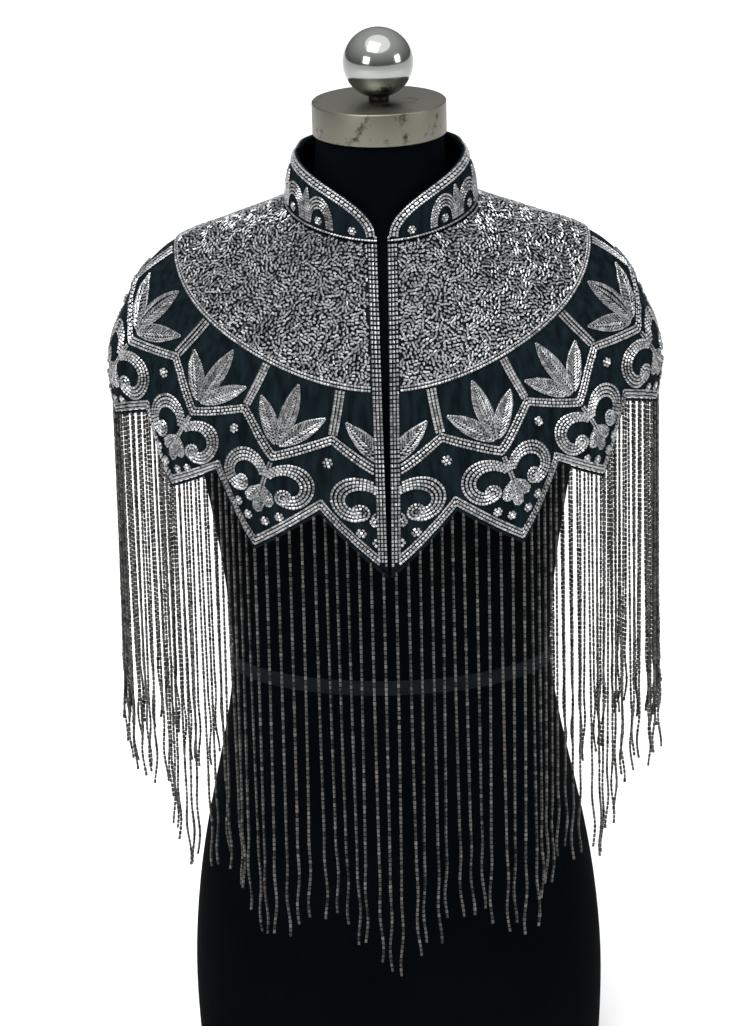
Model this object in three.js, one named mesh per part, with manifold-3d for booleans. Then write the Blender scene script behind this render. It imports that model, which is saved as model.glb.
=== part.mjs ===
// Beaded shoulder capelet with a stand collar and a long bead fringe, worn by a limbless dress form.
// Millimetres, +Z up, the front faces -Y. The origin is the middle of the form's flat base.
// Left and right are as seen from the front, so left is -X.

import * as THREE from 'three';
import Module from 'manifold-3d';

const wasm = await Module();
wasm.setup();

// Cape: one wall of beaded net, cut as part of a circle
const HEM_POINTS = 14;
const CLOTH_WALL = 1.6;
const SEAM_GAP = 0.3;
const SEAM_SLACK = 0.05;
const YOKE_RELIEF = 1.4;
const YOKE_EDGE_SLOPE = 3;
const BAND_RELIEF = 1.8;
const BAND_WIDTH = 10;
const HEM_EDGE_RELIEF = 0.6;
const SLIT_WIDTH_NECK = 9;
const SLIT_WIDTH_HEM = 3;
const HEM_FLUTE_DEPTH = 5;
const FLUTE_SHARE_FRONT = 0.4;
const SHOULDER_SPREAD = 0.048;
const CHEST_LEAN = 1.5;
const SHOULDER_ROUND = 0.2;

// Radii on the flat cut, measured from the centre of the neck
const NECK_RADIUS = 72;
const YOKE_RADIUS = 190;
const CELL_TOP_RADIUS = 238;
const CELL_TIP_RADIUS = 264;
const HEM_VALLEY_RADIUS = 298;
const HEM_TIP_RADIUS = 343;
const HEM_FRONT_EXTRA = 7;
const FLUTE_START_RADIUS = 225;

// A row for each ring of the worn cape: its flat radius, half-width at the shoulder, depth in front and
// behind, height at side, front and back, how far the cloth swings round towards the front, and how far
// the top of the shoulder lies behind the shoulder line.
const CAPE_COLUMNS = ['radius', 'half', 'front', 'back', 'sideZ', 'frontZ', 'backZ', 'swing', 'ridge'];
const CAPE_RINGS = [
  [NECK_RADIUS, 84, 66, 69, 827, 803, 829, 0.05, 0.2],
  [130, 140, 96, 91, 807, 746, 772, 0.09, 0.2],
  [YOKE_RADIUS, 184, 119, 108, 790, 683, 708, 0.11, 0.2],
  [CELL_TOP_RADIUS, 218, 127, 117, 761, 639, 664, 0.1, 0.14],
  [CELL_TIP_RADIUS, 232, 136, 124, 732, 612, 639, 0.07, 0.06],
  [HEM_VALLEY_RADIUS, 246, 146, 132, 698, 580, 606, 0.04, 0],
  [HEM_TIP_RADIUS, 242, 153, 138, 659, 537, 562, 0, 0],
].map((row) => Object.fromEntries(row.map((value, i) => [CAPE_COLUMNS[i], value])));

// Stand collar
const COLLAR_WALL = 2.2;
const COLLAR_TOP_Z = 876;
const COLLAR_FRONT_Z = 809;
const COLLAR_END_ANGLE = 5;
const COLLAR_FULL_HEIGHT_ANGLE = 105;
const COLLAR_VEE_CURVE = 0.5;
const COLLAR_BOW = 2.2;
const COLLAR_LEAN_SIDE = 0.26;
const COLLAR_LEAN_BACK = 0.08;
const COLLAR_BAND = 11;
const COLLAR_BAND_SLOPE = 1;
const COLLAR_BAND_RELIEF = 0.8;
const COLLAR_INNER_SHARES = [1, 0.8, 0.5, 0];

// Fringe: a backing tape below the hem and three-sided bead strands
const STRANDS_PER_POINT = 11;
const STRAND_RADIUS = 1.3;
const STRAND_LENGTH_FRONT = 378;
const STRAND_LENGTH_SIDE = 336;
const STRAND_UNEVEN = 7;
const STRAND_UNEVEN_RATE = 47.3;
const STRAND_SWAY = 2.5;
const STRAND_SWAY_RATE = 31.7;
const STRAND_CURL = 2;
const STRAND_STATIONS = [0, 0.55, 1];
const FRINGE_GAP = 0.6;
const TAPE_HEIGHT = 3.4;
const STRAND_ROOT_SHARE = 0.9;
const TAPE_OUTER = 0.5;
const TAPE_INNER = -1.3;

// Dress form: a row for each ring below the yoke
const FORM_CLEARANCE = 0.75;
const NECK_COLUMN_RADIUS = 56.5;
const NECK_TOP_Z = 885.2;
const WAIST_TAPE_Z = 400;
const WAIST_TAPE_HEIGHT = 14;
const WAIST_TAPE_THICK = 1.2;
const WAIST_HALF_HEIGHT = WAIST_TAPE_HEIGHT / 2 + 2;
const WAIST = { half: 145, front: 94, back: 83 };
const YOKE_ROW_RADII = [NECK_RADIUS, 92, 116, 144, 172];
const FORM_YOKE_RADII = [...YOKE_ROW_RADII, YOKE_RADIUS - YOKE_EDGE_SLOPE];
const FORM_NECK_RINGS = [
  { half: NECK_COLUMN_RADIUS, front: 56.5, back: 56.5, level: NECK_TOP_Z },
  { half: 57, front: 56.5, back: 56.5, sideZ: 856, frontZ: 838, backZ: 858 },
  { half: 65, front: 59, back: 60, sideZ: 833, frontZ: 812, backZ: 838 },
];
const FORM_BODY_RINGS = [
  { half: 192, front: 115, back: 104, sideZ: 772, frontZ: 655, backZ: 680, ridge: 0.22 },
  { half: 191, front: 115, back: 104, sideZ: 740, frontZ: 632, backZ: 654, ridge: 0.16 },
  { half: 184, front: 112, back: 102, sideZ: 694, frontZ: 606, backZ: 626, ridge: 0.08 },
  { half: 173, front: 107, back: 100, sideZ: 626, frontZ: 572, backZ: 588 },
  { half: 163, front: 102, back: 95, sideZ: 557, frontZ: 540, backZ: 545 },
  { half: 154, front: 98, back: 89, sideZ: 508, frontZ: 500, backZ: 500 },
  { half: 148, front: 95, back: 85, level: 456 },
  { ...WAIST, level: WAIST_TAPE_Z + WAIST_HALF_HEIGHT },
  { ...WAIST, level: WAIST_TAPE_Z - WAIST_HALF_HEIGHT },
  { half: 152, front: 98, back: 88, level: 338 },
  { half: 168, front: 107, back: 99, level: 268 },
  { half: 182, front: 117, back: 111, level: 200 },
  { half: 191, front: 124, back: 119, level: 113 },
  { half: 190, front: 123, back: 118, level: 50 },
  { half: 187, front: 120, back: 114, level: 0 },
];
const FORM_COLUMNS = 48;

// Steel neck cap and ball finial
const CAP_RADIUS = 59;
const CAP_BOTTOM_Z = 885.5;
const CAP_TOP_Z = 914.5;
const CAP_EDGE_ROUND = 1.4;
const BALL_RADIUS = 31;
const BALL_Z = 948;
const STEM_RADIUS = 9;
const STEM_BOTTOM_Z = 914.8;
const BALL_TOP_ANGLE = 0.1;
const BALL_STEPS = 10;
const ROUND_COLUMNS = 24;

const COLOURS = {
  beadedNet: { color: 0x6f7072, roughness: 0.55, metalness: 0.2 },
  collarCloth: { color: 0x55565a, roughness: 0.55, metalness: 0.2 },
  fringe: { color: 0x4a4a4c, roughness: 0.4, metalness: 0.2 },
  jersey: { color: 0x0c1114, roughness: 0.9, metalness: 0 },
  waistTape: { color: 0x23282b, roughness: 0.8, metalness: 0 },
  steel: { color: 0xa39c90, roughness: 0.38, metalness: 1 },
  chrome: { color: 0xb9b9b6, roughness: 0.12, metalness: 1 },
};

const { lerp, inverseLerp, smoothstep, clamp, degToRad } = THREE.MathUtils;
const STEP_ANGLE = (2 * Math.PI) / HEM_POINTS;

// Smooth run of one column of the ring table along the flat radius
function ringValue(column, radius) {
  const last = CAPE_RINGS.length - 1;
  const slope = (i) => {
    const before = CAPE_RINGS[Math.max(i - 1, 0)];
    const after = CAPE_RINGS[Math.min(i + 1, last)];
    return (after[column] - before[column]) / (after.radius - before.radius);
  };
  const tip = CAPE_RINGS[last];
  if (radius > tip.radius) {
    return tip[column] + slope(last) * (radius - tip.radius);
  }
  const i = clamp(CAPE_RINGS.findIndex((ring) => ring.radius >= radius) - 1, 0, last - 1);
  const start = CAPE_RINGS[i];
  const end = CAPE_RINGS[i + 1];
  const span = end.radius - start.radius;
  const t = (radius - start.radius) / span;
  const easeIn = t * (1 - t) * (1 - t) * span * slope(i);
  const easeOut = t * t * (t - 1) * span * slope(i + 1);
  const blend = t * t * (3 - 2 * t);
  return lerp(start[column], end[column], blend) + easeIn + easeOut;
}

// Point on a ring at an angle from the centre front
function ringPoint(ring, angle, flute = 0) {
  const across = Math.sin(angle);
  const along = Math.cos(angle);
  const depth = lerp(ring.back, ring.front, (1 + along) / 2);
  const slope = along + (ring.ridge ?? 0) * across ** 4;
  const endZ = slope > 0 ? ring.frontZ : ring.backZ;
  const rounded = (slope * slope * Math.hypot(1, SHOULDER_ROUND)) / Math.hypot(slope, SHOULDER_ROUND);
  return new THREE.Vector3(
    (ring.half + flute) * across,
    -(depth + flute) * along,
    lerp(ring.sideZ, endZ, rounded ** CHEST_LEAN),
  );
}

// Outer face of the cloth. A whole u is a hem point, u = 0 the centre front; radius is on the flat cut.
function capePoint(u, radius) {
  const ring = {};
  for (const column of CAPE_COLUMNS) {
    ring[column] = ringValue(column, radius);
  }
  const turn = u * STEP_ANGLE;
  const angle = turn - ring.swing * Math.sin(2 * turn) + SHOULDER_SPREAD * Math.sin(4 * turn);
  const fullness = lerp(FLUTE_SHARE_FRONT, 1, Math.sin(angle) ** 2);
  const depth = HEM_FLUTE_DEPTH * fullness * smoothstep(radius, FLUTE_START_RADIUS, HEM_TIP_RADIUS);
  return ringPoint(ring, angle, depth * Math.cos(2 * Math.PI * u));
}

// Point, outward normal, direction down the cloth and cloth length per unit of u
function capeFrame(u, radius) {
  const du = 0.01;
  const dr = 0.5;
  const round = capePoint(u + du, radius).sub(capePoint(u - du, radius));
  const down = capePoint(u, radius + dr).sub(capePoint(u, radius - dr)).normalize();
  const normal = down.clone().cross(round).normalize();
  return { point: capePoint(u, radius), normal, down, perTurn: round.length() / (2 * du) };
}

const offAxis = (u) => 2 * Math.abs(u - Math.round(u));
const fromCentreFront = (u) => Math.abs(u - HEM_POINTS * Math.round(u / HEM_POINTS));
const tipRadius = (u) => HEM_TIP_RADIUS + (fromCentreFront(u) < 1.5 ? HEM_FRONT_EXTRA : 0);
const hemRadius = (u) => lerp(tipRadius(u), HEM_VALLEY_RADIUS, offAxis(u));
const cellRadius = (u) => lerp(CELL_TIP_RADIUS, CELL_TOP_RADIUS, offAxis(u));
const slitHalf = (radius) => {
  const share = (radius - NECK_RADIUS) / (HEM_TIP_RADIUS - NECK_RADIUS);
  return lerp(SLIT_WIDTH_NECK, SLIT_WIDTH_HEM, share) / 2;
};

// Triangles between two runs of vertices, the first one walked forwards
function zip(mesh, first, second) {
  const shares = (run) => {
    const lengths = [0];
    for (let i = 1; i < run.length; i += 1) {
      lengths.push(lengths[i - 1] + mesh.points[run[i]].distanceTo(mesh.points[run[i - 1]]));
    }
    return lengths.map((length) => length / lengths[run.length - 1]);
  };
  const a = shares(first);
  const b = shares(second);
  let i = 0;
  let j = 0;
  while (i < first.length - 1 || j < second.length - 1) {
    const nextA = i < first.length - 1 ? a[i + 1] : Infinity;
    const nextB = j < second.length - 1 ? b[j + 1] : Infinity;
    if (nextA <= nextB) {
      mesh.triangles.push([first[i], first[i + 1], second[j]]);
      i += 1;
    } else {
      mesh.triangles.push([first[i], second[j + 1], second[j]]);
      j += 1;
    }
  }
}

function addGrid(mesh, rows) {
  return rows.map((row) => row.map((point) => mesh.points.push(point) - 1));
}

function coverGrid(mesh, grid, outward) {
  for (let r = 0; r < grid.length - 1; r += 1) {
    for (let c = 0; c < grid[r].length - 1; c += 1) {
      const [a, b, d, e] = [grid[r][c], grid[r + 1][c], grid[r][c + 1], grid[r + 1][c + 1]];
      mesh.triangles.push(outward ? [a, b, d] : [a, d, b]);
      mesh.triangles.push(outward ? [b, e, d] : [b, d, e]);
    }
  }
}

function toGeometry(mesh) {
  const geometry = new THREE.BufferGeometry();
  const coordinates = mesh.points.flatMap((point) => point.toArray());
  geometry.setAttribute('position', new THREE.Float32BufferAttribute(coordinates, 3));
  geometry.setIndex(mesh.triangles.flat());
  geometry.computeVertexNormals();
  return geometry;
}

// Closed wall between an outer and an inner grid of points that share their four edges' runs
function wallGeometry(outerRows, innerRows) {
  const mesh = { points: [], triangles: [] };
  const outer = addGrid(mesh, outerRows);
  const inner = addGrid(mesh, innerRows);
  coverGrid(mesh, outer, true);
  coverGrid(mesh, inner, false);
  const back = (run) => [...run].reverse();
  const startOf = (grid) => grid.map((row) => row[0]);
  const endOf = (grid) => grid.map((row) => row[row.length - 1]);
  zip(mesh, outer[0], inner[0]);
  zip(mesh, back(outer[outer.length - 1]), back(inner[inner.length - 1]));
  zip(mesh, back(startOf(outer)), back(startOf(inner)));
  zip(mesh, endOf(outer), endOf(inner));
  return toGeometry(mesh);
}

// Closed solid through rings of points from top to bottom, with a flat top and a flat bottom
function loftGeometry(rings) {
  const mesh = { points: [], triangles: [] };
  const closed = addGrid(mesh, rings).map((run) => [...run, run[0]]);
  coverGrid(mesh, closed, true);
  const top = closed[0];
  const bottom = closed[closed.length - 1];
  for (let c = 1; c < rings[0].length - 1; c += 1) {
    mesh.triangles.push([top[0], top[c], top[c + 1]]);
    mesh.triangles.push([bottom[0], bottom[c + 1], bottom[c]]);
  }
  return toGeometry(mesh);
}

// Columns of a hem point: its axis, the flanks of its bands and the valleys
const COLUMN_SHARES = [0, 0.14, 0.3, 0.42, 0.5, 0.58, 0.7, 0.86];
const COLLAR_COLUMN_SHARES = [0, 0.25, 0.5, 0.75];

function columnsBetween(first, last, shares = COLUMN_SHARES) {
  const columns = [];
  for (let k = Math.floor(first); k <= last; k += 1) {
    columns.push(...shares.map((share) => k + share));
  }
  return columns.filter((u) => u >= first && u <= last);
}

// Rows of the cape's outer face from neck to hem, each with the height of its bead work
const HALF_BAND = BAND_WIDTH / 2;
const onSideLine = (u) => offAxis(u) === 1;
const ridgeOnSideLines = (u) => (onSideLine(u) ? BAND_RELIEF : 0);
const hemInner = (u) => hemRadius(u) - BAND_WIDTH;
const cellOuter = (u) => cellRadius(u) + HALF_BAND;
const OUTER_ROWS = [
  ...YOKE_ROW_RADII.map((radius) => ({ radius: () => radius, relief: () => YOKE_RELIEF })),
  { radius: () => YOKE_RADIUS - YOKE_EDGE_SLOPE, relief: () => YOKE_RELIEF },
  { radius: () => YOKE_RADIUS, relief: ridgeOnSideLines },
  { radius: (u) => lerp(YOKE_RADIUS, cellRadius(u) - HALF_BAND, 0.5), relief: ridgeOnSideLines },
  { radius: (u) => cellRadius(u) - HALF_BAND, relief: ridgeOnSideLines },
  { radius: cellRadius, relief: () => BAND_RELIEF },
  { radius: cellOuter, relief: () => 0 },
  { radius: (u) => lerp(cellOuter(u), hemInner(u), 0.5), relief: () => 0 },
  { radius: hemInner, relief: () => 0 },
  { radius: (u) => hemRadius(u) - HALF_BAND, relief: () => BAND_RELIEF },
  { radius: hemRadius, relief: () => HEM_EDGE_RELIEF },
];
const INNER_ROWS = [
  ...YOKE_ROW_RADII.map((radius) => () => radius),
  () => YOKE_RADIUS,
  (u) => lerp(YOKE_RADIUS, cellRadius(u), 0.5),
  cellRadius,
  (u) => lerp(cellOuter(u), hemInner(u), 0.5),
  hemRadius,
];

// A cape panel between two edges. An edge is set back from its line by half a seam or half the slit.
function capePanel(columns, startSetback, endSetback) {
  const last = columns.length - 1;
  const place = (index, row) => {
    const u = columns[index];
    const radius = row(u);
    const { perTurn } = capeFrame(u, radius);
    if (index === 0) {
      return [u + startSetback(radius) / perTurn, radius];
    }
    if (index === last) {
      return [u - endSetback(radius) / perTurn, radius];
    }
    return [u, radius];
  };
  const faceRow = (row, relief) => columns.map((u, index) => {
    const { point, normal } = capeFrame(...place(index, row));
    return point.addScaledVector(normal, relief(u));
  });
  const outer = OUTER_ROWS.map((row) => faceRow(row.radius, row.relief));
  const inner = INNER_ROWS.map((row) => faceRow(row, () => -CLOTH_WALL));
  return wallGeometry(outer, inner);
}

// Collar wall: it stands up beside the neck edge and bows inwards towards its top
function collarGeometry() {
  const columns = columnsBetween(0, HEM_POINTS, COLLAR_COLUMN_SHARES);
  const last = columns.length - 1;
  const outer = [[], [], [], [], []];
  const inner = COLLAR_INNER_SHARES.map(() => []);
  const up = new THREE.Vector3(0, 0, 1);
  columns.forEach((column, index) => {
    const slit = slitHalf(NECK_RADIUS) / capeFrame(column, NECK_RADIUS).perTurn;
    const u = column + (index === 0 ? slit : 0) - (index === last ? slit : 0);
    const { point, normal, down } = capeFrame(u, NECK_RADIUS);
    const outward = new THREE.Vector3(normal.x, normal.y, 0).normalize();
    const fromFront = Math.abs(Math.atan2(point.x, -point.y));
    const climb = inverseLerp(degToRad(COLLAR_END_ANGLE), degToRad(COLLAR_FULL_HEIGHT_ANGLE), fromFront);
    const lean = lerp(COLLAR_LEAN_BACK, COLLAR_LEAN_SIDE, Math.sin(fromFront) ** 2);
    const setback = SEAM_GAP + SEAM_SLACK + (COLLAR_WALL / 2) * Math.abs(outward.dot(down));
    const foot = point.addScaledVector(down, -setback);
    const height = lerp(COLLAR_FRONT_Z, COLLAR_TOP_Z, clamp(climb, 0, 1) ** COLLAR_VEE_CURVE) - foot.z;
    const band = Math.min(COLLAR_BAND, height - 2 * COLLAR_BAND_SLOPE);
    const at = (lift, side) => {
      const share = lift / height;
      const inward = lean * height * share ** COLLAR_BOW;
      const bend = lean * COLLAR_BOW * share ** (COLLAR_BOW - 1);
      const through = outward.clone().addScaledVector(up, bend).normalize();
      const middle = foot.clone().addScaledVector(up, lift).addScaledVector(outward, -inward);
      return middle.addScaledVector(through, side);
    };
    const face = COLLAR_WALL / 2;
    outer[0].push(at(height, face + COLLAR_BAND_RELIEF));
    outer[1].push(at(height - band + COLLAR_BAND_SLOPE, face + COLLAR_BAND_RELIEF));
    outer[2].push(at(height - band, face));
    outer[3].push(at((height - band) / 2, face));
    outer[4].push(at(0, face));
    COLLAR_INNER_SHARES.forEach((share, row) => inner[row].push(at(height * share, -face)));
  });
  return wallGeometry(outer, inner);
}

function toManifold(geometry) {
  const vertProperties = new Float32Array(geometry.getAttribute('position').array);
  const triVerts = new Uint32Array(geometry.getIndex().array);
  return new wasm.Manifold(new wasm.Mesh({ numProp: 3, vertProperties, triVerts }));
}

function fromManifold(solid) {
  const { vertProperties, triVerts } = solid.getMesh();
  const geometry = new THREE.BufferGeometry();
  geometry.setAttribute('position', new THREE.BufferAttribute(vertProperties, 3));
  geometry.setIndex(new THREE.BufferAttribute(triVerts, 1));
  geometry.computeVertexNormals();
  return geometry;
}

// Distance down the cloth that keeps the seam gap square to the slanted hem
function hemFall(u) {
  const { point, down } = capeFrame(u, hemRadius(u));
  const squareShares = [-0.02, 0.02].map((step) => {
    const along = capePoint(u + step, hemRadius(u + step)).sub(point).normalize();
    return down.clone().addScaledVector(along, -down.dot(along)).length();
  });
  return FRINGE_GAP / Math.min(...squareShares);
}

// Backing tape that follows the hem's zigzag just below its edge
function fringeTape(columns, startSetback, endSetback) {
  const last = columns.length - 1;
  const corners = [[], [], [], []];
  columns.forEach((column, index) => {
    const { perTurn } = capeFrame(column, hemRadius(column));
    let u = column;
    u += index === 0 ? startSetback / perTurn : 0;
    u -= index === last ? endSetback / perTurn : 0;
    const { point, normal, down } = capeFrame(u, hemRadius(column));
    const fall = hemFall(column);
    const at = (drop, side) => point.clone().addScaledVector(down, drop).addScaledVector(normal, side);
    corners[0].push(at(fall, TAPE_OUTER));
    corners[1].push(at(fall + TAPE_HEIGHT, TAPE_OUTER));
    corners[2].push(at(fall, TAPE_INNER));
    corners[3].push(at(fall + TAPE_HEIGHT, TAPE_INNER));
  });
  return wallGeometry([corners[0], corners[1]], [corners[2], corners[3]]);
}

// One strand hangs from the middle of the tape, slightly uneven in length and sway
function fringeStrand(u) {
  const radius = hemRadius(u) + hemFall(u) + TAPE_HEIGHT * STRAND_ROOT_SHARE;
  const { point, normal } = capeFrame(u, radius);
  const root = point.addScaledVector(normal, (TAPE_OUTER + TAPE_INNER) / 2);
  const sideShare = Math.abs(Math.sin(u * STEP_ANGLE)) ** 3;
  const uneven = STRAND_UNEVEN * Math.sin(u * STRAND_UNEVEN_RATE);
  const length = lerp(STRAND_LENGTH_FRONT, STRAND_LENGTH_SIDE, sideShare) + uneven;
  const rings = STRAND_STATIONS.map((share) => {
    const phase = u * STRAND_SWAY_RATE + STRAND_CURL * share;
    const sway = STRAND_SWAY * share * share * Math.sin(phase);
    return [0, 1, 2].map((corner) => {
      const angle = (corner * 2 * Math.PI) / 3;
      const x = root.x + sway + STRAND_RADIUS * Math.cos(angle);
      const y = root.y + STRAND_RADIUS * Math.sin(angle);
      return new THREE.Vector3(x, y, root.z - share * length);
    });
  });
  return loftGeometry(rings);
}

function fringeGeometry(first, last, startSetback, endSetback) {
  let solid = toManifold(fringeTape(columnsBetween(first, last), startSetback, endSetback));
  const count = Math.round((last - first) * STRANDS_PER_POINT);
  const spacing = (last - first) / count;
  for (let i = 0; i < count; i += 1) {
    solid = solid.add(toManifold(fringeStrand(first + (i + 0.5) * spacing)));
  }
  return fromManifold(solid);
}

// Padded form: its shoulders and chest carry the yoke, then it runs down to waist, hip and flat base
const levelled = (ring) => ({ sideZ: ring.level, frontZ: ring.level, backZ: ring.level, ...ring });
const formAngles = [...Array(FORM_COLUMNS).keys()].map((i) => (i * 2 * Math.PI) / FORM_COLUMNS);

function formGeometry() {
  const neck = FORM_NECK_RINGS.map(levelled).map((ring) => formAngles.map((angle) => ringPoint(ring, angle)));
  const shoulders = FORM_YOKE_RADII.map((radius) => formAngles.map((angle) => {
    const { point, normal } = capeFrame(angle / STEP_ANGLE, radius);
    return point.addScaledVector(normal, -CLOTH_WALL - FORM_CLEARANCE);
  }));
  const body = FORM_BODY_RINGS.map(levelled).map((ring) => formAngles.map((angle) => ringPoint(ring, angle)));
  return loftGeometry([...neck, ...shoulders, ...body]);
}

function waistTapeGeometry() {
  const ringAt = (grow, lift) => {
    const ring = levelled({
      half: WAIST.half + grow,
      front: WAIST.front + grow,
      back: WAIST.back + grow,
      level: WAIST_TAPE_Z + lift,
    });
    return formAngles.map((angle) => ringPoint(ring, angle));
  };
  const top = WAIST_TAPE_HEIGHT / 2;
  const mesh = { points: [], triangles: [] };
  const near = SEAM_GAP;
  const far = SEAM_GAP + WAIST_TAPE_THICK;
  const section = [ringAt(far, top), ringAt(far, -top), ringAt(near, -top), ringAt(near, top)];
  const closed = addGrid(mesh, section).map((run) => [...run, run[0]]);
  coverGrid(mesh, [...closed, closed[0]], true);
  return toGeometry(mesh);
}

// Solid of revolution from a profile of radius and height, listed from top to bottom
function turnedGeometry(profile) {
  const rings = profile.map(([radius, z]) => {
    const angles = [...Array(ROUND_COLUMNS).keys()].map((i) => (i * 2 * Math.PI) / ROUND_COLUMNS);
    return angles.map((angle) => new THREE.Vector3(radius * Math.sin(angle), -radius * Math.cos(angle), z));
  });
  return loftGeometry(rings);
}

function capGeometry() {
  const profile = [[CAP_RADIUS - CAP_EDGE_ROUND * 2, CAP_TOP_Z]];
  for (const degrees of [70, 45, 20, 0]) {
    const angle = degToRad(degrees);
    const radius = CAP_RADIUS - CAP_EDGE_ROUND * (1 - Math.cos(angle));
    profile.push([radius, CAP_TOP_Z - CAP_EDGE_ROUND * (1 - Math.sin(angle))]);
  }
  profile.push([CAP_RADIUS, CAP_BOTTOM_Z]);
  return turnedGeometry(profile);
}

function finialGeometry() {
  const profile = [];
  const stemAngle = Math.PI - Math.asin(STEM_RADIUS / BALL_RADIUS);
  for (let i = 0; i <= BALL_STEPS; i += 1) {
    const angle = lerp(BALL_TOP_ANGLE, stemAngle, i / BALL_STEPS);
    profile.push([BALL_RADIUS * Math.sin(angle), BALL_Z + BALL_RADIUS * Math.cos(angle)]);
  }
  profile.push([STEM_RADIUS, STEM_BOTTOM_Z]);
  return turnedGeometry(profile);
}

const group = new THREE.Group();

function addPiece(name, geometry, look) {
  const piece = new THREE.Mesh(geometry, new THREE.MeshStandardMaterial(look));
  piece.name = name;
  group.add(piece);
}

const SHOULDER_LINE = HEM_POINTS / 4;
const halfSeam = () => SEAM_GAP / 2 + SEAM_SLACK;
const columnsRight = columnsBetween(0, SHOULDER_LINE);
const columnsBack = columnsBetween(SHOULDER_LINE, HEM_POINTS - SHOULDER_LINE);
const columnsLeft = columnsBetween(HEM_POINTS - SHOULDER_LINE, HEM_POINTS);
addPiece('cape_front_right', capePanel(columnsRight, slitHalf, halfSeam), COLOURS.beadedNet);
addPiece('cape_back', capePanel(columnsBack, halfSeam, halfSeam), COLOURS.beadedNet);
addPiece('cape_front_left', capePanel(columnsLeft, halfSeam, slitHalf), COLOURS.beadedNet);
addPiece('collar', collarGeometry(), COLOURS.collarCloth);

const slitAtHem = SLIT_WIDTH_HEM / 2;
const tapeEnd = halfSeam();
addPiece('fringe_front_right', fringeGeometry(0, 0.5, slitAtHem, tapeEnd), COLOURS.fringe);
const frontLeft = fringeGeometry(HEM_POINTS - 0.5, HEM_POINTS, tapeEnd, slitAtHem);
addPiece('fringe_front_left', frontLeft, COLOURS.fringe);
for (let k = 1; k < HEM_POINTS; k += 1) {
  const middle = HEM_POINTS / 2;
  const side = k < middle ? `right_${k}` : `left_${HEM_POINTS - k}`;
  const name = k === middle ? 'fringe_back' : `fringe_${side}`;
  addPiece(name, fringeGeometry(k - 0.5, k + 0.5, tapeEnd, tapeEnd), COLOURS.fringe);
}

addPiece('form_torso', formGeometry(), COLOURS.jersey);
addPiece('form_waist_tape', waistTapeGeometry(), COLOURS.waistTape);
addPiece('form_neck_cap', capGeometry(), COLOURS.steel);
addPiece('form_finial', finialGeometry(), COLOURS.chrome);

export default group;
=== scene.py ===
# A beaded shoulder capelet with a stand collar and a long bead fringe, worn by a limbless dress form.
# Metres, +Z up. The front faces -Y, and left is -X, as seen from the front.

import math

import bpy
import numpy as np
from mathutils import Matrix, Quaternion, Vector


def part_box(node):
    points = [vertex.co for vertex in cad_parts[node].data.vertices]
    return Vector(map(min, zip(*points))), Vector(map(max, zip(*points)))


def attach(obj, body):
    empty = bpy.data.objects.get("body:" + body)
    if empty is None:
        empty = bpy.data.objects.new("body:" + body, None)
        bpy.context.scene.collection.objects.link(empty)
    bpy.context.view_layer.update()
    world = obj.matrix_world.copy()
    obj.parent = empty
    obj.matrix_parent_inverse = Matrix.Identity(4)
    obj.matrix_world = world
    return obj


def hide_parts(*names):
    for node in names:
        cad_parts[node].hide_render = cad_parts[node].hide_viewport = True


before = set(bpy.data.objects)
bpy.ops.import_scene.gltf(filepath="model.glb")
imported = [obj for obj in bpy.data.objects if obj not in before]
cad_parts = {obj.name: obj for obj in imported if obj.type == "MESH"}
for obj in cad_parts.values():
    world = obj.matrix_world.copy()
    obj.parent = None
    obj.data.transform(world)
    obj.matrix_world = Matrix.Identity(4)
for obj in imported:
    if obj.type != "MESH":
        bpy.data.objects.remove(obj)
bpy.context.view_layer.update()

# Studio: a pale floor that runs out of sight behind the form, and soft white light from above and in front.
# The floor is plain paper, and it fills the whole picture behind the object.
FLOOR_SIZE = 60.0
FLOOR_DROP = 0.0005

bpy.ops.object.select_all(action="DESELECT")
bpy.ops.mesh.primitive_plane_add(size=FLOOR_SIZE, location=(0, 0, -FLOOR_DROP))
floor = bpy.context.object
floor.name = "studio_floor"
floor_paper = bpy.data.materials.new("floor_paper")
floor_paper.use_nodes = True
paper = floor_paper.node_tree.nodes["Principled BSDF"]
paper.inputs["Base Color"].default_value = (0.93, 0.93, 0.93, 1)
paper.inputs["Roughness"].default_value = 0.95
paper.inputs["Specular IOR Level"].default_value = 0.1
floor.data.materials.append(floor_paper)

SURROUND_LOW = (0.2, 0.2, 0.2, 1)
SURROUND_HIGH = (0.95, 0.95, 0.95, 1)
SURROUND_SPAN = (0.05, 0.75)

world = bpy.data.worlds.new("studio_surround")
world.use_nodes = True
surround = world.node_tree
way_out = surround.nodes.new("ShaderNodeTexCoord")
height_of = surround.nodes.new("ShaderNodeSeparateXYZ")
surround.links.new(way_out.outputs["Generated"], height_of.inputs["Vector"])
dome = surround.nodes.new("ShaderNodeValToRGB")
dome.color_ramp.elements[0].position = SURROUND_SPAN[0]
dome.color_ramp.elements[0].color = SURROUND_LOW
dome.color_ramp.elements[1].position = SURROUND_SPAN[1]
dome.color_ramp.elements[1].color = SURROUND_HIGH
surround.links.new(height_of.outputs["Z"], dome.inputs["Fac"])
surround.links.new(dome.outputs["Color"], surround.nodes["Background"].inputs["Color"])
bpy.context.scene.world = world


def soft_light(name, place, aim, size, power):
    """A square soft box that faces a point."""
    lamp = bpy.data.lights.new(name, "AREA")
    lamp.size = size
    lamp.energy = power
    box = bpy.data.objects.new(name, lamp)
    box.location = place
    box.rotation_mode = "QUATERNION"
    box.rotation_quaternion = (Vector(aim) - Vector(place)).to_track_quat("-Z", "Y")
    bpy.context.collection.objects.link(box)


soft_light("light_above", (-0.6, -1.2, 3.4), (0, 0, 0.7), 1.6, 70)
soft_light("light_front_left", (-2.2, -2.6, 1.9), (0, 0, 0.6), 1.2, 45)
soft_light("light_right", (2.6, -1.0, 1.6), (0, 0, 0.6), 0.9, 22)

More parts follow.
